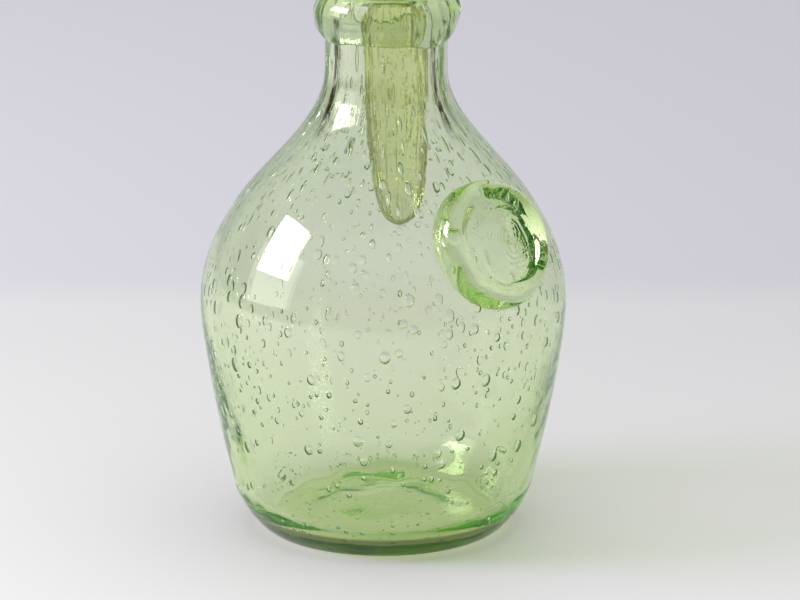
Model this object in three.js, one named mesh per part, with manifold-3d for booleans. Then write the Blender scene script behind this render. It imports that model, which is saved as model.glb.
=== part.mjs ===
// A hand-blown bottle vase in seeded green glass: the blown body with its neck, an applied
// lip collar, a stamped glass seal on the shoulder, and a loose solid glass stopper whose
// shank hangs in the neck. Millimetres, +Z up, origin at the centre of the foot.

import * as THREE from "three";
import { mergeVertices } from "three/addons/utils/BufferGeometryUtils.js";
import Module from "manifold-3d";

// Driving dimensions. A pair is [radius, height] on the vase's axis.
const BELLY_RADIUS = 45;
const BELLY_HEIGHT = 57;
const FOOT_RADIUS = 29; // outer edge of the flat ring that it stands on
const PUNT_RADIUS = 18; // hollow pushed up inside that ring
const PUNT_DEPTH = 1.2;
const HEEL = [37, 11];
const HEEL_SLOPE = 0.21; // radians from vertical, leaning outwards
const SHOULDER = [28.2, 92];
const SHOULDER_SLOPE = -0.72; // radians from vertical, leaning inwards
const NECK_RADIUS = 14.9;
const NECK_START = 116; // where the shoulder has become the straight neck
const NECK_TOP = 131;
const BORE_RADIUS = 12;
const WALL = 2.6;
const HEEL_WALL = 4;
const FLOOR_LOW = [25, 4.2]; // lowest ring of the inner floor
const KICK_HEIGHT = 6; // inner floor at the axis

const CONTACT_GAP = 0.3; // left between pieces that touch
const COLLAR_BOTTOM = 122;
const COLLAR_RADIUS = 18;
const LIP_TOP = 134;
const LIP_CREST_RADIUS = 14.6;

const SEAL_RADIUS = 15.4;
const SEAL_RIM = 4.6; // width of its rolled rim
const SEAL_DISH = 1.5; // depth of its field below the rim
const SEAL_RIPPLE = 0.35; // relief of the rings in the field
const SEAL_RIPPLE_PITCH = 3.6;
const SEAL_BACK = 13; // how far the blank runs back before the wall cuts it
const SEAL_CENTRE = { out: 42.3, height: 79.5, azimuth: 42, tilt: 24 }; // mm, mm, degrees

const SHANK_RADIUS = 7.6;
const SHANK_TIP = 75.8;
const KNOB_RADIUS = 19;
const KNOB_EQUATOR = 146;
const KNOB_TOP = 158;
const KNOB_SEAT = 38; // radius of the domed underside that rests on the lip
const STOPPER_LEAN = 2; // degrees

// Mesh fineness
const BODY_SIDES = 40;
const SMALL_SIDES = 28;

const wasm = await Module();
wasm.setup();

const point = ([radius, height]) => new THREE.Vector2(radius, height);

// A cubic arc between two points that leaves and arrives in the given directions.
function arc(from, leave, reach, to, steps) {
  const curve = new THREE.CubicBezierCurve(
    point(from), point(from).add(leave), point(to).sub(reach), point(to));
  return curve.getPoints(steps);
}

// A vector of this length in a profile, turned by an angle from vertical towards the outside.
const run = (length, slope = 0) =>
  new THREE.Vector2(length * Math.sin(slope), length * Math.cos(slope));
const across = (length) => new THREE.Vector2(length, 0);

// Joins stretches of a profile end to end, each without the point that it shares.
const chain = (...stretches) => stretches.flatMap((points, i) => (i ? points.slice(1) : points));

// A solid of revolution about +Z.
function revolve(profile, sides) {
  return new THREE.LatheGeometry(profile, sides).rotateX(Math.PI / 2);
}

function toSolid(geometry) {
  const bare = geometry.clone().deleteAttribute("normal").deleteAttribute("uv");
  const merged = mergeVertices(bare, 1e-3);
  return new wasm.Manifold(new wasm.Mesh({
    numProp: 3,
    vertProperties: merged.attributes.position.array,
    triVerts: new Uint32Array(merged.index.array),
  }));
}

function toGeometry(solid) {
  const { numProp, vertProperties, triVerts } = solid.getMesh();
  const positions = new THREE.BufferAttribute(vertProperties, numProp);
  const geometry = new THREE.BufferGeometry().setAttribute("position", positions);
  geometry.setIndex(new THREE.BufferAttribute(triVerts, 1));
  geometry.computeVertexNormals();
  return geometry;
}

// The blown body

// The outside, from the foot's edge up to where the neck is straight.
function silhouette() {
  const belly = [BELLY_RADIUS, BELLY_HEIGHT];
  const neck = [NECK_RADIUS, NECK_START];
  return chain(
    arc([FOOT_RADIUS, 0], across(2), run(4.1, HEEL_SLOPE), HEEL, 6),
    arc(HEEL, run(11.3, HEEL_SLOPE), run(12), belly, 7),
    arc(belly, run(16.1), run(7.7, SHOULDER_SLOPE), SHOULDER, 9),
    arc(SHOULDER, run(13.6, SHOULDER_SLOPE), run(9), neck, 8),
  );
}

// How thick the wall is at a height on the outside.
function wallAt(height) {
  const bellyWall = THREE.MathUtils.lerp(
    HEEL_WALL, WALL, THREE.MathUtils.smoothstep(height, HEEL[1], BELLY_HEIGHT));
  const neckWall = NECK_RADIUS - BORE_RADIUS;
  const up = THREE.MathUtils.smoothstep(height, SHOULDER[1], NECK_START);
  return THREE.MathUtils.lerp(bellyWall, neckWall, up);
}

// An outline moved sideways along its own normals; a positive distance moves it inwards.
function offset(outline, distanceAt) {
  return outline.map((at, i) => {
    const before = outline[Math.max(i - 1, 0)];
    const after = outline[Math.min(i + 1, outline.length - 1)];
    const along = after.clone().sub(before).normalize();
    const distance = distanceAt(at.y);
    return new THREE.Vector2(at.x - along.y * distance, at.y + along.x * distance);
  });
}

function makeBody() {
  const outside = silhouette();
  const aboveHeel = outside.filter((at) => at.y >= HEEL[1]);
  const inside = offset(aboveHeel, wallAt).reverse();
  const innerHeel = inside.at(-1).toArray();
  const floor = chain(
    arc(innerHeel, run(-4, HEEL_SLOPE), across(-2.5), FLOOR_LOW, 5),
    arc(FLOOR_LOW, across(-11), across(-5), [0, KICK_HEIGHT], 6),
  );
  const punt = arc([0, PUNT_DEPTH], across(11), new THREE.Vector2(3, -0.6), [PUNT_RADIUS, 0], 5);
  const neckTop = [[NECK_RADIUS, NECK_TOP], [BORE_RADIUS, NECK_TOP]].map(point);
  return revolve([...punt, ...outside, ...neckTop, ...chain(inside, floor)], BODY_SIDES);
}

// The applied lip collar: a soft ring round the neck that folds over its top.

function makeCollar() {
  const hug = NECK_RADIUS + CONTACT_GAP;
  const ledge = NECK_TOP + CONTACT_GAP;
  const outside = new THREE.SplineCurve([
    [hug, COLLAR_BOTTOM + 0.4],
    [hug + 1.2, COLLAR_BOTTOM + 0.5],
    [COLLAR_RADIUS - 0.8, COLLAR_BOTTOM + 2.8],
    [COLLAR_RADIUS, COLLAR_BOTTOM + 7],
    [COLLAR_RADIUS - 0.8, LIP_TOP - 1.9],
    [LIP_CREST_RADIUS, LIP_TOP],
    [BORE_RADIUS + 0.7, LIP_TOP - 0.9],
    [BORE_RADIUS + 0.1, ledge],
  ].map(point)).getPoints(15);
  const inside = [[hug, ledge], [hug, COLLAR_BOTTOM + 0.4]].map(point);
  return revolve([...outside, ...inside], BODY_SIDES);
}

// The stamped seal: a dished disc with a rolled rim, seated on the shoulder.

function sealProfile() {
  const field = SEAL_RADIUS - SEAL_RIM;
  const rings = [];
  const ringSteps = 11;
  for (let i = 0; i <= ringSteps; i++) {
    const radius = (field * i) / ringSteps;
    const ripple = SEAL_RIPPLE * Math.cos((2 * Math.PI * radius) / SEAL_RIPPLE_PITCH);
    rings.push(new THREE.Vector2(radius, ripple - SEAL_DISH));
  }
  const rim = new THREE.Path();
  rim.absarc(SEAL_RADIUS - SEAL_RIM / 2, -SEAL_RIM / 2, SEAL_RIM / 2, Math.PI * 0.8, 0, true);
  const skirt = [[SEAL_RADIUS + 0.6, -6], [SEAL_RADIUS + 0.6, -SEAL_BACK], [0, -SEAL_BACK]];
  return [...skirt.reverse().map(point), ...rim.getPoints(8).reverse(), ...rings.reverse()];
}

function makeSeal() {
  const { out, height, azimuth, tilt } = SEAL_CENTRE;
  const turn = THREE.MathUtils.degToRad(azimuth);
  const disc = revolve(sealProfile(), SMALL_SIDES);
  disc.rotateX(THREE.MathUtils.degToRad(90 - tilt)); // its face now looks along -Y, tipped up
  disc.rotateZ(turn);
  disc.translate(out * Math.sin(turn), -out * Math.cos(turn), height);
  const shell = offset(silhouette(), () => -CONTACT_GAP);
  const ends = [[0, shell[0].y], [0, shell.at(-1).y]].map(point);
  const blank = revolve([ends[0], ...shell, ends[1]], BODY_SIDES);
  return toGeometry(toSolid(disc).subtract(toSolid(blank)));
}

// The stopper: a solid shank under a rounded knob. Its underside is part of a sphere about
// the pivot, so it rests evenly on the lip even while the shank leans.

const PIVOT_HEIGHT =
  LIP_TOP + CONTACT_GAP + Math.sqrt(KNOB_SEAT ** 2 - LIP_CREST_RADIUS ** 2);

function makeStopper() {
  const seat = (radius) => [radius, PIVOT_HEIGHT - Math.sqrt(KNOB_SEAT ** 2 - radius ** 2)];
  const seatInner = SHANK_RADIUS + 1.6;
  const seatOuter = KNOB_RADIUS - 3.4;
  const shank = new THREE.SplineCurve([
    [0, SHANK_TIP],
    [SHANK_RADIUS * 0.45, SHANK_TIP + 1.3],
    [SHANK_RADIUS * 0.7, SHANK_TIP + 4.6],
    [SHANK_RADIUS * 0.82, SHANK_TIP + 10],
    [SHANK_RADIUS * 0.93, SHANK_TIP + 19],
    [SHANK_RADIUS, SHANK_TIP + 34],
    [SHANK_RADIUS, COLLAR_BOTTOM + 5],
    seat(seatInner),
  ].map(point)).getPoints(17);
  const dome = [seatInner + 3, seatOuter].map((radius) => point(seat(radius)));
  const seatSlope = Math.asin(seatOuter / KNOB_SEAT);
  const outwards = run(4, Math.PI / 2 - seatSlope);
  const equator = [KNOB_RADIUS, KNOB_EQUATOR];
  const knob = chain(
    arc(seat(seatOuter), outwards, run(5), equator, 6),
    arc(equator, run(7), across(-11), [0, KNOB_TOP], 8),
  );
  const geometry = revolve([...shank, ...chain(dome, knob)], SMALL_SIDES);
  return geometry.translate(0, 0, -PIVOT_HEIGHT);
}

// Materials

const glass = (color) => new THREE.MeshStandardMaterial({
  color, roughness: 0.05, metalness: 0, transparent: true, opacity: 0.45 });
const paleGreen = glass(0xa9c9a4);
const sealGreen = glass(0x9fc49c);
const yellowGreen = glass(0xb3bf6f);

function piece(name, geometry, material) {
  const mesh = new THREE.Mesh(geometry, material);
  mesh.name = name;
  return mesh;
}

const stopper = new THREE.Group();
stopper.position.z = PIVOT_HEIGHT;
stopper.rotation.y = THREE.MathUtils.degToRad(-STOPPER_LEAN);
stopper.add(piece("stopper", makeStopper(), yellowGreen));

const vase = new THREE.Group();
vase.add(
  piece("vase_body", makeBody(), paleGreen),
  piece("lip_collar", makeCollar(), paleGreen),
  piece("shoulder_seal", makeSeal(), sealGreen),
  stopper,
);

export default vase;
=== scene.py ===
"""A hand-blown bottle vase in pale green seeded glass, with a rolled lip, a stamped seal on its
shoulder and a loose stopper. Everything is in metres; outlines are worked in millimetres."""

import math
import random

import bpy
from mathutils import Matrix, Vector, noise


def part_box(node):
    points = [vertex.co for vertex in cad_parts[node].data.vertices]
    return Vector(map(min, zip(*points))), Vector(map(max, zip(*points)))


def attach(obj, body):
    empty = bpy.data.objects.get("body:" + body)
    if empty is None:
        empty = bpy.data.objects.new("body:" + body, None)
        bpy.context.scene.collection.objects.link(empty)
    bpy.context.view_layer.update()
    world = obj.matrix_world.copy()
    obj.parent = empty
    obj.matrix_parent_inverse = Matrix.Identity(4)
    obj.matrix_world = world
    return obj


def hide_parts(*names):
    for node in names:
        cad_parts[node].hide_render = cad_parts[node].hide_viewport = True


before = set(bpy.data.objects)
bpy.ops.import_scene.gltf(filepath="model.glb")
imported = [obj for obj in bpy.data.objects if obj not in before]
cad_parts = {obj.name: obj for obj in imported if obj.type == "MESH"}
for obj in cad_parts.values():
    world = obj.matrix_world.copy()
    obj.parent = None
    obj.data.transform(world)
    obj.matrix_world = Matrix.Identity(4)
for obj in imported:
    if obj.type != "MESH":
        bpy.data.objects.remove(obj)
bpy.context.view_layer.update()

MM = 0.001


def in_mm(node):
    low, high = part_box(node)
    return low / MM, high / MM


# Sizes that come from the frame, in millimetres
_, body_high = in_mm("vase_body")
collar_low, collar_high = in_mm("lip_collar")
stopper_low, stopper_high = in_mm("stopper")

BELLY_RADIUS = body_high.x
NECK_TOP = body_high.z
COLLAR_BOTTOM = collar_low.z
COLLAR_RADIUS = collar_high.x
LIP_TOP = collar_high.z
SHANK_TIP = stopper_low.z
KNOB_TOP = stopper_high.z

# Shape of the blown body, in millimetres and radians
BELLY_HEIGHT = 57
FOOT_RADIUS = 29
PUNT_RADIUS = 18
PUNT_DEPTH = 1.2
HEEL = (37, 11)
HEEL_SLOPE = 0.21
SHOULDER = (28.2, 92)
SHOULDER_SLOPE = -0.72
NECK_RADIUS = 14.9
NECK_START = 116
NECK_CORDS = (86, 114)  # the height where cords in the pulled neck start, and where they are full
BORE_RADIUS = 12
WALL = 2.6
HEEL_WALL = 4
FLOOR_LOW = (25, 4.2)
KICK_HEIGHT = 6
FLOOR_EDGE = 33
LIP_CREST_RADIUS = 14.6

SEAL_RADIUS = 15.4
SEAL_SIDE = SEAL_RADIUS + 0.55
SEAL_BACK = 13
SEAL_OUT = 42.3
SEAL_HEIGHT = 79.5
SEAL_AZIMUTH = math.radians(42)
SEAL_TILT = math.radians(24)
BEAD_CREST = SEAL_RADIUS - 2.1  # radius of the top of the seal's rolled rim
BEAD_HEIGHT = 1.2
FIELD_RADIUS = 9.4
FIELD_CENTRE = Vector((1.2, -1.1))
FIELD_STEP = 0.8
PRESSED_TO = -7.2  # the inside of the wall behind the seal, on the seal's own axis
FUSED_GAP = 0.02
FUSED_LEVEL = 0.5  # faces whose "fused" value is above this are inside one mass of glass

SHANK_RADIUS = 7.6
KNOB_RADIUS = 19
KNOB_EQUATOR = 146
KNOB_SEAT = 38
STOPPER_LEAN = math.radians(2)
PIVOT_HEIGHT = LIP_TOP + 0.3 + math.sqrt(KNOB_SEAT**2 - LIP_CREST_RADIUS**2)

LEAN_OF_NECK = 1.0  # how far the hand-made neck wanders off the axis

# Steps in which the outlines are spun round the axis
SIDES = 144
SEAL_SIDES = 120
STOPPER_SIDES = 160

FLOOR_SEEDS = 45
FLOOR_SEED_REACH = 22
STOPPER_SEEDS = 46
SEED_TRIES = 60
SEED_SKIN = 0.25  # least glass between a seed and a face of the wall
SEED_SPACING = 0.2  # least glass between two seeds
SEED_SHARE = 0.3  # most of the wall that half a seed may take


# Outlines: lists of (radius, height) in millimetres


def run(length, slope=0.0):
    return Vector((length * math.sin(slope), length * math.cos(slope)))


def across(length):
    return Vector((length, 0))


def arc(start, leave, reach, end, steps):
    """A cubic arc from start to end that leaves and arrives in the given directions."""
    start, end = Vector(start), Vector(end)
    handles = (start, start + leave, end - reach, end)
    points = []
    for step in range(steps + 1):
        t = step / steps
        weights = ((1 - t) ** 3, 3 * (1 - t) ** 2 * t, 3 * (1 - t) * t**2, t**3)
        points.append(sum((h * w for h, w in zip(handles, weights)), Vector((0, 0))))
    return points


def chain(*stretches):
    """Stretches joined end to end, each without the point that it shares."""
    points = list(stretches[0])
    for stretch in stretches[1:]:
        points += stretch[1:]
    return points


def through(points, steps):
    """A smooth outline through a few points (Catmull-Rom), with steps between each two."""
    points = [Vector(p) for p in points]
    smooth = []
    for i in range(len(points) - 1):
        before = points[max(i - 1, 0)]
        after = points[min(i + 2, len(points) - 1)]
        leave = (points[i + 1] - before) / 6
        reach = (after - points[i]) / 6
        stretch = arc(points[i], leave, reach, points[i + 1], steps)
        smooth += stretch if not smooth else stretch[1:]
    return smooth


def offset(outline, distance_at):
    """An outline moved sideways along its normals; a positive distance moves it inwards."""
    moved = []
    for i, at in enumerate(outline):
        along = (outline[min(i + 1, len(outline) - 1)] - outline[max(i - 1, 0)]).normalized()
        moved.append(at + Vector((-along.y, along.x)) * distance_at(at.y))
    return moved


def ease(value, low, high):
    t = min(max((value - low) / (high - low), 0), 1)
    return t * t * (3 - 2 * t)


def silhouette(fine=3):
    belly = (BELLY_RADIUS, BELLY_HEIGHT)
    return chain(
        arc((FOOT_RADIUS, 0), across(2), run(4.1, HEEL_SLOPE), HEEL, 4 * fine),
        arc(HEEL, run(11.3, HEEL_SLOPE), run(12), belly, 8 * fine),
        arc(belly, run(16.1), run(7.7, SHOULDER_SLOPE), SHOULDER, 8 * fine),
        arc(SHOULDER, run(13.6, SHOULDER_SLOPE), run(9), (NECK_RADIUS, NECK_START), 6 * fine),
    )


def wall_at(height):
    belly_wall = HEEL_WALL + (WALL - HEEL_WALL) * ease(height, HEEL[1], BELLY_HEIGHT)
    up = ease(height, SHOULDER[1], NECK_START)
    return belly_wall + (NECK_RADIUS - BORE_RADIUS - belly_wall) * up


# Hand-made wandering, the same for every fused piece so that they stay together

noise.seed_set(11)  # without a seed, noise_vector changes from run to run


def wander(at):
    """Where a point of the ideal form ends up on the blown one, in millimetres."""
    settled = ease(at.z, 0, 30)
    sway = noise.noise_vector(at / 38, noise_basis="PERLIN_NEW") * 0.55
    sway += noise.noise_vector(at / 14 + Vector((7, 3, 5)), noise_basis="PERLIN_NEW") * 0.12
    lean = Vector((LEAN_OF_NECK * ease(at.z, 25, 125), 0, 0))
    return at + (sway + lean) * settled


def around(at, count, seed, pitch):
    """Unevenness that runs up and down a piece: it changes quickly round the axis, about count
    times, and slowly along it, over pitch millimetres."""
    level = at.to_2d().normalized() * (count / 2.4) if at.to_2d().length > 1e-6 else Vector((0, 0))
    return noise.noise(Vector((level.x + seed, level.y, at.z / pitch + seed)))


def flute(at, depth):
    """Moves a point in or out along the cords of the pulled glass."""
    radius = at.to_2d().length
    if radius < 1e-6:
        return at
    change = around(at, 9, 3.3, 50) + 0.4 * around(at, 22, 8.1, 34) + 0.1 * around(at, 46, 5.7, 24)
    out = at.to_2d().normalized() * (radius + change * depth)
    return Vector((out.x, out.y, at.z))


def collar_edge(at):
    """How far the lower edge of the collar hangs below or above its mean height."""
    return around(Vector((at.x, at.y, 0)), 5, 6.4, 30) - 0.3 * at.x / COLLAR_RADIUS


# Modelling helpers


def start_piece():
    if bpy.context.object and bpy.context.object.mode != "OBJECT":
        bpy.ops.object.mode_set(mode="OBJECT")
    bpy.ops.object.select_all(action="DESELECT")


def turn(name, outline, sides, closed=False):
    """Draws an outline in edit mode, one extruded point at a time, and spins it round the axis."""
    start_piece()
    points = [Vector((p.x, 0, p.y)) * MM for p in outline]
    bpy.ops.mesh.primitive_plane_add(size=MM, location=points[0])
    piece = bpy.context.object
    piece.name = name
    bpy.ops.object.transform_apply(location=True)
    bpy.ops.object.mode_set(mode="EDIT")
    bpy.ops.mesh.select_all(action="SELECT")
    bpy.ops.mesh.merge(type="CENTER")
    for before, after in zip(points, points[1:]):
        bpy.ops.mesh.extrude_region_move(TRANSFORM_OT_translate={"value": after - before})
    if closed:
        move = {"value": points[0] - points[-1]}
        bpy.ops.mesh.extrude_region_move(TRANSFORM_OT_translate=move)
    bpy.ops.mesh.select_all(action="SELECT")
    bpy.ops.mesh.spin(steps=sides, angle=2 * math.pi, center=(0, 0, 0), axis=(0, 0, 1))
    bpy.ops.mesh.select_all(action="SELECT")
    bpy.ops.mesh.remove_doubles(threshold=0.002 * MM)
    bpy.ops.mesh.normals_make_consistent(inside=False)
    bpy.ops.object.mode_set(mode="OBJECT")
    return piece


def reshape(piece, where):
    """Moves every vertex of a piece to where(point), in millimetres."""
    for vertex in piece.data.vertices:
        vertex.co = where(vertex.co / MM) * MM


def put_attribute(piece, name, value_at, domain="POINT"):
    """A number on each vertex or face of a piece, from its place in millimetres."""
    spots = piece.data.vertices if domain == "POINT" else piece.data.polygons
    attribute = piece.data.attributes.new(name, "FLOAT", domain)
    for spot, item in zip(spots, attribute.data):
        item.value = value_at((spot.co if domain == "POINT" else spot.center) / MM)


# The seeds: air bubbles frozen into the glass. Each is a small hollow with its faces turned in.


def make_seed_form(name, fineness):
    start_piece()
    bpy.ops.mesh.primitive_ico_sphere_add(subdivisions=fineness, radius=1)
    form = bpy.context.object
    form.name = name
    bpy.ops.object.mode_set(mode="EDIT")
    bpy.ops.mesh.select_all(action="SELECT")
    bpy.ops.mesh.flip_normals()
    bpy.ops.object.mode_set(mode="OBJECT")
    bpy.ops.object.shade_smooth()
    return form


def add_seeds(piece, form, seeds):
    """Copies the seed form to each placing (a matrix in millimetres) and joins all to the piece."""
    copies = []
    for placing in seeds:
        mesh = form.data.copy()
        mesh.transform(Matrix.Scale(MM, 4) @ placing)
        if placing.determinant() < 0:
            mesh.flip_normals()
        copy = bpy.data.objects.new(form.name, mesh)
        bpy.context.collection.objects.link(copy)
        copies.append(copy)
    start_piece()
    for copy in copies:
        copy.select_set(True)
    piece.select_set(True)
    bpy.context.view_layer.objects.active = piece
    bpy.ops.object.join()


class WallSeeds:
    """Finds places for seeds in a wall between two outlines, none touching another."""

    def __init__(self, outline, wall, stream):
        self.outline = outline
        self.wall = wall
        self.stream = stream
        self.taken = []

    def place(self, low, high, across_size, stretch, flatness):
        """One seed somewhere between two heights. Its size across is drawn from across_size,
        it is stretched along the wall's rise, and it takes at most a part of the wall."""
        for _ in range(SEED_TRIES):
            height = self.stream.uniform(low, high)
            azimuth = self.stream.uniform(0, 2 * math.pi)
            above = next(i for i, p in enumerate(self.outline) if p.y >= height)
            above = min(max(above, 1), len(self.outline) - 1)
            lower, upper = self.outline[above - 1], self.outline[above]
            rise = (upper - lower).normalized()
            surface = lower + (upper - lower) * (height - lower.y) / (upper.y - lower.y)
            inwards = Vector((-rise.y, rise.x))
            wall = self.wall(height)
            half = self.stream.uniform(*across_size) / 2
            long = half * self.stream.uniform(*stretch)
            deep = min(half * self.stream.uniform(*flatness), wall * SEED_SHARE)
            deepest = max(wall - deep - SEED_SKIN, deep + 0.3)
            depth = self.stream.uniform(deep + SEED_SKIN, deepest)
            middle = surface + inwards * depth
            turned = Matrix.Rotation(azimuth, 4, "Z")
            at = turned @ Vector((middle.x, 0, middle.y))
            clear = long + SEED_SPACING
            if all((at - other).length > reach + clear for other, reach in self.taken):
                self.taken.append((at, long))
                axes = Matrix((
                    (0, rise.x * long, inwards.x * deep, middle.x),
                    (half, 0, 0, 0),
                    (0, rise.y * long, inwards.y * deep, middle.y),
                    (0, 0, 0, 1),
                ))
                return turned @ axes
        return None


def on_seal(at):
    """How far a point lies from the middle line of the seal, in millimetres."""
    return (seal_frame.inverted() @ at).to_2d().length


seal_frame = (
    Matrix.Rotation(SEAL_AZIMUTH, 4, "Z")
    @ Matrix.Translation((0, -SEAL_OUT, SEAL_HEIGHT))
    @ Matrix.Rotation(math.pi / 2 - SEAL_TILT, 4, "X")
)


# The blown body


def pressed_by_seal(at):
    """Where stamping the seal pushed the inside of the wall: flat behind it."""
    local = seal_frame.inverted() @ at
    if local.z < -SEAL_BACK:
        return at
    pressed = 1 - ease(local.to_2d().length, SEAL_RADIUS - 6, SEAL_RADIUS + 9)
    local.z += min(PRESSED_TO - local.z, 0) * pressed
    return seal_frame @ local


def make_body():
    outside = silhouette()
    above_heel = [p for p in outside if p.y >= HEEL[1]]
    inside = list(reversed(offset(above_heel, wall_at)))
    floor = chain(
        arc(inside[-1], run(-4, HEEL_SLOPE), across(-2.5), FLOOR_LOW, 12),
        arc(FLOOR_LOW, across(-11), across(-5), (0, KICK_HEIGHT), 18),
    )
    punt = arc((0, PUNT_DEPTH), across(11), Vector((3, -0.6)), (PUNT_RADIUS, 0), 12)
    foot = [Vector((PUNT_RADIUS + 3 * i, 0)) for i in (1, 2)]
    neck_steps = 9
    rise = (NECK_TOP - NECK_START) / neck_steps
    joint_rings = [COLLAR_BOTTOM, NECK_TOP - 0.05]
    heights = sorted([NECK_START + rise * i for i in range(1, neck_steps + 1)] + joint_rings)
    neck = [Vector((NECK_RADIUS, height)) for height in heights]
    bore = [Vector((BORE_RADIUS, height)) for height in reversed(heights)]
    outline = punt + foot + outside + neck + bore + inside + floor[1:]
    body = turn("vase_glass_body", outline, SIDES)

    def fused(at):
        radius = at.to_2d().length
        if at.z > NECK_TOP - 0.02:
            return 5.0
        if radius > NECK_RADIUS - 1.2 and at.z > COLLAR_BOTTOM - 4:
            return at.z - COLLAR_BOTTOM - collar_edge(at) + FUSED_LEVEL
        outline_radius = radius_at(at.z)
        if radius < outline_radius - 0.8 or (seal_frame.inverted() @ at).z < -SEAL_BACK:
            return -5.0
        return SEAL_SIDE - on_seal(at) + FUSED_LEVEL

    put_attribute(body, "fused", fused)

    def blown(at):
        radius = at.to_2d().length
        inner = radius < radius_at(at.z) - 1 if at.z > HEEL[1] else at.z > 3
        if inner and at.z < 14 and radius < FLOOR_EDGE:
            # The floor swells a little and has a curved ridge towards the back
            swell = 0.35 * noise.noise(at / 9 + Vector((2, 5, 1)))
            crest = abs(at.y - 20 + 0.03 * at.x**2 + 2.5 * noise.noise(Vector((at.x / 6, 4, 2))))
            ridge = 1.1 * math.exp(-((crest / 2.2) ** 2) - ((at.x + 1) / 15) ** 2)
            return at + Vector((0, 0, (swell + ridge) * ease(FLOOR_EDGE - radius, 0, 8)))
        pulled = ease(at.z, *NECK_CORDS)
        depth = 0.24 if inner else 0.10
        if inner and 50 < at.z < 105:
            at = pressed_by_seal(at)
        if inner:
            depth *= 1 - ease(at.z, 125, 130)
            at = at + at.normalized() * 0.2 * noise.noise(at / 5) * ease(40 - at.z, 0, 10)
        if inner or at.z < COLLAR_BOTTOM + 1:
            return flute(at, depth * pulled)
        return at

    reshape(body, blown)
    return body


def radius_at(height):
    """The outside radius of the body at a height."""
    for before, after in zip(outer_line, outer_line[1:]):
        if before.y <= height <= after.y:
            t = (height - before.y) / max(after.y - before.y, 1e-9)
            return before.x + (after.x - before.x) * t
    return NECK_RADIUS


outer_line = silhouette()
body = make_body()

stream = random.Random(11)
fine_seed = make_seed_form("seed_fine", 2)
wall_seeds = WallSeeds(outer_line + [Vector((NECK_RADIUS, z)) for z in range(117, 131)],
                       wall_at, stream)
# Each band of seeds: lowest and highest place, how many, size across, stretch along the wall,
# and thickness through the wall as a part of the size across
SEED_BANDS = (
    (0.8, 5, 110, (0.4, 1.2), (0.9, 1.4), (0.7, 0.95)),
    (4, 14, 110, (0.3, 0.9), (0.9, 1.3), (0.7, 0.9)),
    (12, 50, 260, (0.4, 1.4), (0.9, 1.5), (0.5, 0.85)),
    (24, 76, 150, (1.2, 2.7), (1.1, 1.5), (0.14, 0.24)),
    (40, 90, 480, (0.25, 1.0), (1.0, 2.2), (0.2, 0.45)),
    (60, 98, 90, (1.0, 1.9), (1.5, 2.6), (0.2, 0.4)),
    (84, 108, 150, (0.5, 1.4), (2.5, 5.5), (0.4, 0.7)),
    (98, 121, 120, (0.5, 1.0), (3.0, 8.0), (0.5, 0.8)),
)
placings = []
for low, high, count, size, stretch, flatness in SEED_BANDS:
    for _ in range(count):
        placing = wall_seeds.place(low, high, size, stretch, flatness)
        if placing:
            placings.append(placing)
for _ in range(FLOOR_SEEDS):
    out = FLOOR_SEED_REACH * math.sqrt(stream.random())
    azimuth = stream.uniform(0, 2 * math.pi)
    half = stream.uniform(0.25, 0.7)
    level = stream.uniform(2.0, 3.2) + 1.2 * (1 - out / FLOOR_SEED_REACH)
    middle = Vector((out * math.cos(azimuth), out * math.sin(azimuth), level))
    placings.append(Matrix.Translation(middle) @ Matrix.Scale(half, 4))
add_seeds(body, fine_seed, placings)
reshape(body, wander)


# The lip collar


def make_collar():
    hug = NECK_RADIUS + FUSED_GAP
    ledge = NECK_TOP + FUSED_GAP
    outside = through([
        (hug, COLLAR_BOTTOM),
        (hug + 0.9, COLLAR_BOTTOM + 0.6),
        (COLLAR_RADIUS - 0.9, COLLAR_BOTTOM + 2.6),
        (COLLAR_RADIUS - 0.4, COLLAR_BOTTOM + 4.8),
        (COLLAR_RADIUS, COLLAR_BOTTOM + 6.8),
        (COLLAR_RADIUS - 0.6, LIP_TOP - 2.6),
        (COLLAR_RADIUS - 1.8, LIP_TOP - 0.9),
        (LIP_CREST_RADIUS, LIP_TOP),
        (BORE_RADIUS + 0.7, LIP_TOP - 0.9),
        (BORE_RADIUS, ledge),
    ], 5)
    contact_top = [Vector((BORE_RADIUS + 1.5, ledge)), Vector((hug, ledge))]
    contact_side = [Vector((hug, ledge + (COLLAR_BOTTOM - ledge) * i / 6)) for i in range(1, 6)]
    collar = turn("vase_glass_collar", outside + contact_top + contact_side, SIDES, closed=True)

    def fused(at):
        radius = at.to_2d().length
        on_side = abs(radius - hug * math.cos(math.pi / SIDES)) < 0.015
        on_ledge = abs(at.z - ledge) < 0.01 and radius > BORE_RADIUS
        return 1.0 if (on_side or on_ledge) else -1.0

    put_attribute(collar, "fused", fused, "FACE")

    def rolled(at):
        low = 1 - ease(at.z, COLLAR_BOTTOM, COLLAR_BOTTOM + 7)
        out = ease(at.to_2d().length, hug + 0.2, COLLAR_RADIUS - 1)
        swell = 0.45 * around(at, 7, 2.2, 12) + 0.34 * around(at, 17, 9.4, 18)
        away = at.to_2d().normalized() * swell * out
        return at + Vector((away.x, away.y, collar_edge(at) * low))

    reshape(collar, rolled)
    return collar


collar = make_collar()
reshape(collar, wander)


# The stamped seal


def peak(value, middle, width):
    """A smooth bump, 1 in its middle."""
    return math.exp(-(((value - middle) / width) ** 2))


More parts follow.
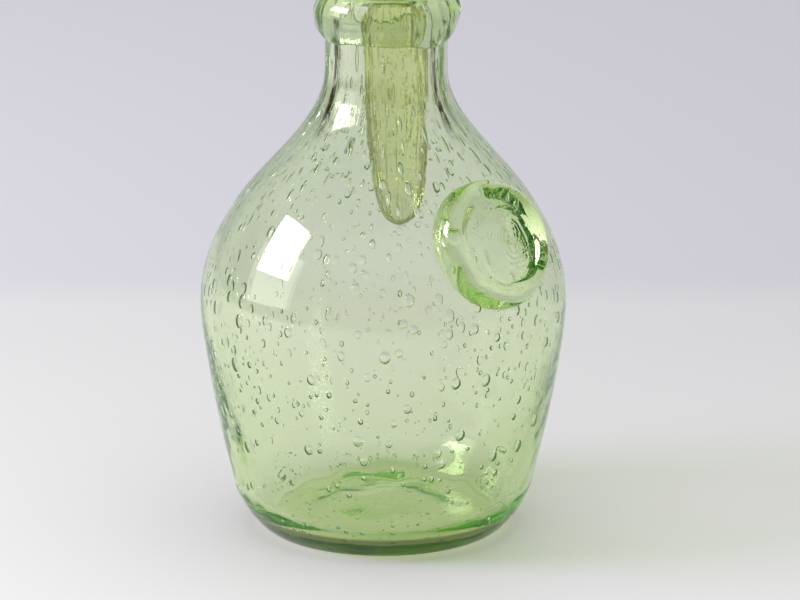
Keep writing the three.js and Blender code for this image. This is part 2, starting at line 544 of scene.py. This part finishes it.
def stamp(at):
    """Rolls the rim of the seal, with the fold where its two ends met, and presses its field."""
    if at.z < -4:
        return at
    radius = at.to_2d().length
    turn_angle = math.atan2(at.y, at.x)
    fold = peak(turn_angle, 1.75, 0.13)
    nick = peak(turn_angle, -2.5, 0.12) + 0.6 * peak(turn_angle, -0.75, 0.1)
    crest = 0.25 * noise.noise(Vector((at.x, at.y, 0)) / 6 + Vector((3, 8, 2)))
    crest -= 0.8 * fold + 0.35 * nick
    if radius >= BEAD_CREST:
        side = (radius - BEAD_CREST) / (SEAL_SIDE - BEAD_CREST)
        return at + Vector((0, 0, crest * (1 - side)))
    inner_width = 3.1 + 0.5 * math.cos(turn_angle + 0.5) + 0.25 * around(at, 6, 4.4, 30)
    down = min((BEAD_CREST - radius) / inner_width, 1)
    height = (crest + BEAD_HEIGHT) * (1 - down**2) - BEAD_HEIGHT
    across_field = at.to_2d() - FIELD_CENTRE
    edge = across_field.length + 0.5 * noise.noise(Vector((at.x, at.y, 9)) / 5)
    pressed = 1 - ease(edge, FIELD_RADIUS - 0.35, FIELD_RADIUS + 0.35)
    height -= FIELD_STEP * pressed
    within = 1 - ease(edge, FIELD_RADIUS - 2.2, FIELD_RADIUS - 0.6)
    eye = Vector((1.5 * (at.x - 4.2), 0.8 * (at.y + 1.2), 0))
    warp = 1.5 * noise.noise(Vector((at.x, at.y, 3)) / 4)
    rings = math.sin(2 * math.pi * (eye.length / 1.7 + warp))
    strength = 0.15 + 0.85 * ease(at.x - 0.35 * abs(at.y), -1.5, 3)
    height += 0.19 * rings * within * strength
    height += 0.30 * noise.noise(Vector((at.x, at.y, 5)) / 6) * pressed
    dent = Vector(((at.x + 5.2) / 0.8, (at.y + 3.5) / 1.9))
    height -= 0.5 * math.exp(-dent.length_squared)
    return Vector((at.x, at.y, height))


def make_seal():
    outline = [Vector((0, -SEAL_BACK)), Vector((SEAL_SIDE, -SEAL_BACK)), Vector((SEAL_SIDE, -5))]
    outline += arc((SEAL_SIDE, -4.6), run(2.6), across(-1.2), (BEAD_CREST, 0), 10)
    rings = 46
    outline += [Vector((BEAD_CREST * (1 - i / rings), 0)) for i in range(1, rings + 1)]
    seal = turn("vase_glass_seal", outline, SEAL_SIDES)
    reshape(seal, stamp)
    seal.data.transform(Matrix.Scale(MM, 4) @ seal_frame @ Matrix.Scale(1 / MM, 4))
    shell = offset(silhouette(2), lambda height: -FUSED_GAP)
    blank_line = [Vector((0, shell[0].y))] + shell + [Vector((0, shell[-1].y))]
    blank = turn("seal_blank", blank_line, SIDES)
    start_piece()
    bpy.context.view_layer.objects.active = seal
    seal.select_set(True)
    cut = seal.modifiers.new("seat", "BOOLEAN")
    cut.operation = "DIFFERENCE"
    cut.solver = "EXACT"
    cut.object = blank
    bpy.ops.object.modifier_apply(modifier=cut.name)
    bpy.data.objects.remove(blank)

    def fused(at):
        radius = at.to_2d().length
        in_contact = abs(radius - radius_at(at.z)) < 0.35 and on_seal(at) < SEAL_SIDE - 0.1
        return 1.0 if in_contact else -1.0

    put_attribute(seal, "fused", fused, "FACE")
    return seal


seal = make_seal()
reshape(seal, wander)


# The stopper


def make_stopper():
    def seat(radius):
        return Vector((radius, PIVOT_HEIGHT - math.sqrt(KNOB_SEAT**2 - radius**2)))

    seat_inner = SHANK_RADIUS + 1.6
    seat_outer = KNOB_RADIUS - 3.4
    shank = through([
        (0, SHANK_TIP - 0.6),
        (SHANK_RADIUS * 0.34, SHANK_TIP + 0.7),
        (SHANK_RADIUS * 0.60, SHANK_TIP + 2.8),
        (SHANK_RADIUS * 0.79, SHANK_TIP + 8),
        (SHANK_RADIUS * 0.93, SHANK_TIP + 18),
        (SHANK_RADIUS, SHANK_TIP + 34),
        (SHANK_RADIUS, COLLAR_BOTTOM + 5),
        seat(seat_inner),
    ], 6)
    dome = [seat(seat_inner + (seat_outer - seat_inner) * i / 4) for i in range(1, 5)]
    outwards = run(4, math.pi / 2 - math.asin(seat_outer / KNOB_SEAT))
    equator = (KNOB_RADIUS, KNOB_EQUATOR)
    knob = chain(
        arc(seat(seat_outer), outwards, run(5), equator, 12),
        arc(equator, run(7), across(-11), (0, KNOB_TOP), 16),
    )
    made = turn("stopper_glass", shank + dome + knob[1:], STOPPER_SIDES)

    def drawn(at):
        radius = at.to_2d().length
        below = 1 - ease(at.z, 131, 136)
        groove = math.exp(-abs(around(at, 8, 3.3, 70)) / 0.06) + 0.5 * math.exp(
            -abs(around(at, 13, 7.9, 50)) / 0.05)
        swell = 0.35 * around(at, 4, 1.4, 26)
        change = (swell - 0.55 * groove) * below * ease(radius, 0, SHANK_RADIUS * 0.7)
        if radius < 1e-6:
            return at
        out = at.to_2d() * (1 + change / radius)
        return Vector((out.x, out.y, at.z))

    reshape(made, drawn)
    seeds = []
    for _ in range(STOPPER_SEEDS):
        height = stream.uniform(SHANK_TIP + 5, LIP_TOP - 6)
        out, azimuth = stream.uniform(0.2, 0.72) * SHANK_RADIUS, stream.uniform(0, 2 * math.pi)
        middle = Vector((out * math.cos(azimuth), out * math.sin(azimuth), height))
        half = stream.uniform(0.2, 0.55)
        size = Matrix.Diagonal((half * 0.6, half * 0.6, half * stream.uniform(1.5, 4), 1))
        seeds.append(Matrix.Translation(middle) @ size)
    add_seeds(made, fine_seed, seeds)
    return made


def lean_stopper(at):
    about = Vector((0, 0, PIVOT_HEIGHT))
    leaned = Matrix.Rotation(-STOPPER_LEAN, 3, "Y") @ (at - about) + about
    wobble = noise.noise_vector(at / 9 + Vector((1, 9, 4))) * 0.25
    lean = Vector((LEAN_OF_NECK * ease(LIP_TOP, 25, 125), 0, 0))
    return leaned + wobble + lean


stopper = make_stopper()
reshape(stopper, lean_stopper)


# Materials

# How often the cords change round the piece and along it, and the broad unevenness
CORDS_AROUND = 9
CORDS_ALONG = 45
BROAD_SCALE = 60
# The dashes of the painted dark bore line along the neck, and the part of the noise that makes one
PAINTED_LINE_DASH_SCALE = (700, 700, 120)
PAINTED_LINE_DASH_EDGES = (0.36, 0.46)
# Where the masks set in and are full, in metres: heights for the first two, then a radius
THIN_NECK = (0.097, 0.107)
HEEL_TOP = (0.0064, 0.0054)
HEEL_INNER = (0.0285, 0.0300)


class Wiring:
    """Adds nodes to a shader tree. Whatever a node is given may be a socket or a plain value."""

    def __init__(self, tree):
        self.nodes, self.links = tree.nodes, tree.links

    def feed(self, socket, given):
        if isinstance(given, bpy.types.NodeSocket):
            self.links.new(given, socket)
        elif socket.type == "RGBA":
            socket.default_value = (*given, 1)
        else:
            socket.default_value = given

    def maths(self, operation, *given):
        node = self.nodes.new("ShaderNodeMath")
        node.operation = operation
        for socket, value in zip(node.inputs, given):
            self.feed(socket, value)
        return node.outputs[0]

    def vector(self, operation, *given):
        node = self.nodes.new("ShaderNodeVectorMath")
        node.operation = operation
        for socket, value in zip(node.inputs, given):
            self.feed(socket, value)
        return node.outputs["Value" if operation == "LENGTH" else "Vector"]

    def ramp(self, value, low, high, start=0, end=1, kind="SMOOTHSTEP"):
        node = self.nodes.new("ShaderNodeMapRange")
        node.interpolation_type = kind
        for name, given in (("Value", value), ("From Min", low), ("From Max", high),
                            ("To Min", start), ("To Max", end)):
            self.feed(node.inputs[name], given)
        return node.outputs["Result"]

    def mix(self, factor, first, second, data_type="RGBA"):
        node = self.nodes.new("ShaderNodeMix")
        node.data_type = data_type
        for name, given in (("Factor", factor), ("A", first), ("B", second)):
            self.feed(node.inputs[name], given)
        return node.outputs["Result"]

    def noise(self, vector, scale, detail, roughness=0.5):
        node = self.nodes.new("ShaderNodeTexNoise")
        for name, given in (("Vector", vector), ("Scale", scale), ("Detail", detail),
                            ("Roughness", roughness)):
            self.feed(node.inputs[name], given)
        return node.outputs["Fac"]

    def place(self, kind):
        """The place of the shaded point, whole and split into its parts."""
        whole = self.nodes.new("ShaderNodeTexCoord").outputs[kind]
        split = self.nodes.new("ShaderNodeSeparateXYZ")
        self.feed(split.inputs[0], whole)
        return whole, split.outputs


def make_pulled_glass():
    """The waviness of glass that was pulled while soft: cords that run up and down the piece,
    strongest towards a height, over a broad gentle unevenness. Its masks show where the neck was
    drawn thin, the dashes of the painted dark bore line along it, and the heel's painted shade."""
    group = bpy.data.node_groups.new("pulled_glass", "ShaderNodeTree")
    for way, names in (("INPUT", ("From Height", "To Height", "Least")),
                       ("OUTPUT", ("Height", "Drawn Thin", "Painted Line Dash", "Heel"))):
        for name in names:
            group.interface.new_socket(name, in_out=way, socket_type="NodeSocketFloat")
    wire = Wiring(group)
    inlet = group.nodes.new("NodeGroupInput").outputs
    outlet = group.nodes.new("NodeGroupOutput").inputs
    whole, split = wire.place("Object")
    level = group.nodes.new("ShaderNodeCombineXYZ")
    wire.feed(level.inputs["X"], split["X"])
    wire.feed(level.inputs["Y"], split["Y"])
    level = level.outputs[0]

    direction = wire.vector("NORMALIZE", level)
    ring = wire.vector("MULTIPLY", direction, (CORDS_AROUND,) * 3)
    cords = wire.noise(wire.vector("MULTIPLY_ADD", whole, (0, 0, CORDS_ALONG), ring), 1, 3)
    rise = wire.ramp(split["Z"], inlet["From Height"], inlet["To Height"], inlet["Least"])
    drawn = wire.maths("MULTIPLY", cords, rise)
    broad = wire.noise(whole, BROAD_SCALE, 1)
    wire.feed(outlet["Height"], wire.maths("MULTIPLY_ADD", broad, 0.5, drawn))

    wire.feed(outlet["Drawn Thin"], wire.ramp(split["Z"], *THIN_NECK))
    # Where the heel's painted shade goes
    heel = wire.maths("MULTIPLY", wire.ramp(split["Z"], *HEEL_TOP),
                      wire.ramp(wire.vector("LENGTH", level), *HEEL_INNER))
    wire.feed(outlet["Heel"], heel)
    # Noise that breaks the painted dark bore line into dashes
    line_dashes = wire.noise(wire.vector("MULTIPLY", whole, PAINTED_LINE_DASH_SCALE), 1, 3, 0.7)
    wire.feed(outlet["Painted Line Dash"], wire.ramp(line_dashes, *PAINTED_LINE_DASH_EDGES))
    return group


pulled_glass = make_pulled_glass()


def painted_shading(wire, normal, pulled, rim, rim_shade_color, painted_bore_line):
    """Painted shade in the colour of the surface: white, but a painted dark rim where light grazes
    it on its way in or out. With a bore line, that is kept to the thin neck, and a broken painted
    dark line is added where the edge of the bore shows through. The heel gets painted shade, for
    the viewer only."""
    glancing = wire.nodes.new("ShaderNodeLayerWeight")
    glancing.inputs["Blend"].default_value = 0.5
    wire.feed(glancing.inputs["Normal"], normal)
    facing = glancing.outputs["Facing"]
    leaving = wire.nodes.new("ShaderNodeNewGeometry").outputs["Backfacing"]
    viewer = wire.nodes.new("ShaderNodeLightPath").outputs["Is Camera Ray"]
    # Painted shade: the surface colour darkens where light grazes the glass
    way_in, way_out = rim
    amount = wire.mix(leaving, wire.ramp(facing, *way_in), wire.ramp(facing, *way_out), "FLOAT")
    if painted_bore_line:
        amount = wire.maths("MULTIPLY", amount, pulled["Drawn Thin"])
        # A broken painted dark line where the edge of the bore shows through the thin neck
        middle, width = painted_bore_line
        distance = wire.maths("ABSOLUTE", wire.maths("SUBTRACT", facing, middle))
        line = wire.ramp(distance, width * 0.55, width, 1, 0)
        for mask in (pulled["Drawn Thin"], pulled["Painted Line Dash"], viewer):
            line = wire.maths("MULTIPLY", line, mask)
        amount = wire.maths("MAXIMUM", amount, line)
    color = wire.mix(amount, (1, 1, 1), rim_shade_color)
    # Painted shade on the heel, for the viewer only
    return wire.mix(wire.maths("MULTIPLY", pulled["Heel"], viewer), color, HEEL_SHADE)


def make_glass(name, tint, density, cord_depth, cords, rim=None, rim_shade_color=None, painted_bore_line=None):
    """Clear glass, coloured by its depth. Its cords start at one height and are full at another;
    cord depth and heights are in millimetres."""
    glass = bpy.data.materials.new(name)
    glass.use_nodes = True
    wire = Wiring(glass.node_tree)
    shader = wire.nodes["Principled BSDF"].inputs
    for socket, value in (("Base Color", (1, 1, 1)), ("Metallic", 0), ("Roughness", 0),
                          ("Transmission Weight", 1), ("IOR", 1.5)):
        wire.feed(shader[socket], value)

    pulled = wire.nodes.new("ShaderNodeGroup")
    pulled.node_tree = pulled_glass
    for socket, value in (("From Height", cords[0] * MM), ("To Height", cords[1] * MM),
                          ("Least", 0.12)):
        wire.feed(pulled.inputs[socket], value)
    bump = wire.nodes.new("ShaderNodeBump")
    for socket, value in (("Distance", cord_depth * MM), ("Strength", 1),
                          ("Height", pulled.outputs["Height"])):
        wire.feed(bump.inputs[socket], value)
    normal = bump.outputs["Normal"]
    wire.feed(shader["Normal"], normal)
    # With a rim, painted shade goes into the surface colour
    if rim:
        wire.feed(shader["Base Color"], painted_shading(
            wire, normal, pulled.outputs, rim, rim_shade_color, painted_bore_line))

    absorb = wire.nodes.new("ShaderNodeVolumeAbsorption")
    wire.feed(absorb.inputs["Color"], tint)
    wire.feed(absorb.inputs["Density"], density)
    wire.feed(wire.nodes["Material Output"].inputs["Volume"], absorb.outputs[0])

    # Faces inside one mass of glass don't show, and shadows are nearly clear
    fused = wire.nodes.new("ShaderNodeAttribute")
    fused.attribute_name = "fused"
    shown = wire.maths("LESS_THAN", fused.outputs["Fac"], FUSED_LEVEL)
    shadow = wire.nodes.new("ShaderNodeLightPath").outputs["Is Shadow Ray"]
    solid = wire.maths("MULTIPLY_ADD", shadow, -SHADOW_LET_THROUGH, 1)
    wire.feed(shader["Alpha"], wire.maths("MULTIPLY", shown, solid))
    return glass


GREEN = (0.60, 0.86, 0.06)
YELLOW_GREEN = (0.80, 0.86, 0.20)
# Painted shade: dark rims where light grazes the glass, and a darker heel
BROWN_RIM_SHADE = (0.015, 0.010, 0.002)
OLIVE_RIM_SHADE = (0.20, 0.19, 0.03)
HEEL_SHADE = (0.13, 0.115, 0.085)
SHADOW_LET_THROUGH = 0.95
# Where the painted dark rim sets in on the way in and on the way out, from 0 (facing) to 1
# (grazing)
NECK_RIM_SHADE = ((0.86, 1), (0.20, 0.24))
vase_glass = make_glass(
    "vase_glass", GREEN, 70, 0.08, NECK_CORDS, NECK_RIM_SHADE, BROWN_RIM_SHADE, painted_bore_line=(0.40, 0.06))
collar_glass = make_glass("collar_glass", GREEN, 42, 0.10, NECK_CORDS, NECK_RIM_SHADE, BROWN_RIM_SHADE)
seal_glass = make_glass("seal_glass", GREEN, 46, 0.15, NECK_CORDS)
stopper_glass = make_glass(
    "stopper_glass", YELLOW_GREEN, 58, 0.05, (60, 80), ((0.27, 0.50), (0.20, 0.24)), OLIVE_RIM_SHADE)


def dress(piece, material):
    piece.data.materials.clear()
    piece.data.materials.append(material)
    start_piece()
    piece.select_set(True)
    bpy.context.view_layer.objects.active = piece
    bpy.ops.object.shade_smooth_by_angle(angle=math.radians(40))


for piece, material in (
    (body, vase_glass),
    (collar, collar_glass),
    (seal, seal_glass),
    (stopper, stopper_glass),
):
    dress(piece, material)
bpy.data.objects.remove(fine_seed)

for piece, node, slot, rides in (
    (body, "vase_body", "vase_glass", "vase"),
    (collar, "lip_collar", "vase_glass", "vase"),
    (seal, "shoulder_seal", "vase_glass", "vase"),
    (stopper, "stopper", "stopper_glass", "stopper"),
):
    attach(piece, rides)
    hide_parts(node)


# The stage: a pale table whose far edge softens into the wall behind


def make_stage():
    start_piece()
    bpy.ops.mesh.primitive_plane_add(size=8, location=(0, 0, -0.0002))
    table = bpy.context.object
    table.name = "table"
    bpy.ops.object.transform_apply(location=True)
    paint = bpy.data.materials.new("table_paint")
    paint.use_nodes = True
    wire = Wiring(paint.node_tree)
    shader = wire.nodes["Principled BSDF"].inputs
    whole, split = wire.place("Object")
    # Painted light: the board is painted lighter towards the viewer, and the wall lighter the
    # further back it is, in place of light that the lamps don't give there
    board = wire.mix(wire.ramp(split["Y"], -0.06, 0.17, kind="LINEAR"),
                     (0.88, 0.87, 0.865), (0.765, 0.755, 0.755))
    wall = wire.mix(wire.ramp(split["Y"], 0.25, 1.4, kind="LINEAR"),
                    (0.70, 0.69, 0.74), (0.81, 0.78, 0.84))
    far_edge = wire.ramp(split["Y"], 0.19, 0.24)
    # A faint glow stands in for the light that the glass focuses under the vase
    focused = wire.ramp(wire.vector("LENGTH", whole), 0.034, 0.027, 0, 0.24)
    for socket, value in (("Roughness", 0.55), ("Specular IOR Level", 0.2),
                          ("Base Color", wire.mix(far_edge, board, wall)),
                          ("Emission Color", (1, 0.96, 0.82)), ("Emission Strength", focused)):
        wire.feed(shader[socket], value)
    table.data.materials.append(paint)


make_stage()


# Light: a bright window on the left, a pale room ahead and a darker one behind the viewer


def make_world():
    """A pale wall ahead, dim furnished sides, a dim room behind the viewer, a pale ceiling."""
    world = bpy.data.worlds.new("room")
    bpy.context.scene.world = world
    world.use_nodes = True
    wire = Wiring(world.node_tree)
    _, split = wire.place("Generated")
    behind, left, right, ahead, above = (
        (0.36, 0.33, 0.29), (0.16, 0.14, 0.10), (0.60, 0.60, 0.55),
        (0.64, 0.65, 0.71), (0.85, 0.85, 0.88))
    shade = wire.mix(wire.ramp(split["X"], -0.1, 0.3), left, right)
    shade = wire.mix(wire.ramp(split["Y"], -0.9, -0.6), behind, shade)
    shade = wire.mix(wire.ramp(split["Y"], 0.35, 0.7), shade, ahead)
    shade = wire.mix(wire.ramp(split["Z"], 0.3, 0.6), shade, above)
    wire.feed(wire.nodes["Background"].inputs["Color"], shade)
    wire.nodes["Background"].inputs["Strength"].default_value = 0.82


def add_window(name, towards, distance, size, power, color, roll):
    start_piece()
    where = Vector(towards).normalized() * distance + Vector((0, 0, 0.06))
    bpy.ops.object.light_add(type="AREA", location=where)
    lamp = bpy.context.object
    lamp.name = name
    lamp.data.shape = "RECTANGLE"
    lamp.data.size, lamp.data.size_y = size
    lamp.data.energy = power
    lamp.data.color = color
    facing = (-Vector(towards)).to_track_quat("-Z", "Y").to_matrix()
    lamp.rotation_euler = (facing @ Matrix.Rotation(math.radians(roll), 3, "Z")).to_euler()


make_world()
add_window("window_top", (-0.84, -0.11, 0.50), 1.2, (0.50, 0.42), 9, (1, 1, 1), 12)
add_window("window_foot", (-0.86, -0.16, 0.30), 1.25, (0.75, 0.55), 3.0, (1, 0.98, 0.95), 8)


# Camera: lens and sensor in millimetres, the shift as a part of the sensor's width

SENSOR_WIDTH = 36
LENS = 183.0015
SHIFT = (0.02125, -0.026875)


def make_camera():
    distance, aim_height = 1.0, 0.062
    elevation = math.radians(15)
    data = bpy.data.cameras.new("camera")
    data.sensor_width = SENSOR_WIDTH
    data.lens = LENS
    data.shift_x, data.shift_y = SHIFT
    camera = bpy.data.objects.new("camera", data)
    bpy.context.scene.collection.objects.link(camera)
    aim = Vector((0, 0, aim_height))
    out = Vector((0, -math.cos(elevation), math.sin(elevation)))
    camera.location = aim + out * distance
    camera.rotation_euler = (-out).to_track_quat("-Z", "Y").to_euler()
    bpy.context.scene.camera = camera


make_camera()
scene = bpy.context.scene
scene.view_settings.view_transform = "Standard"
scene.cycles.caustics_refractive = False
scene.cycles.max_bounces = 80
scene.cycles.glossy_bounces = 40
scene.cycles.transmission_bounces = 64
scene.cycles.transparent_max_bounces = 64
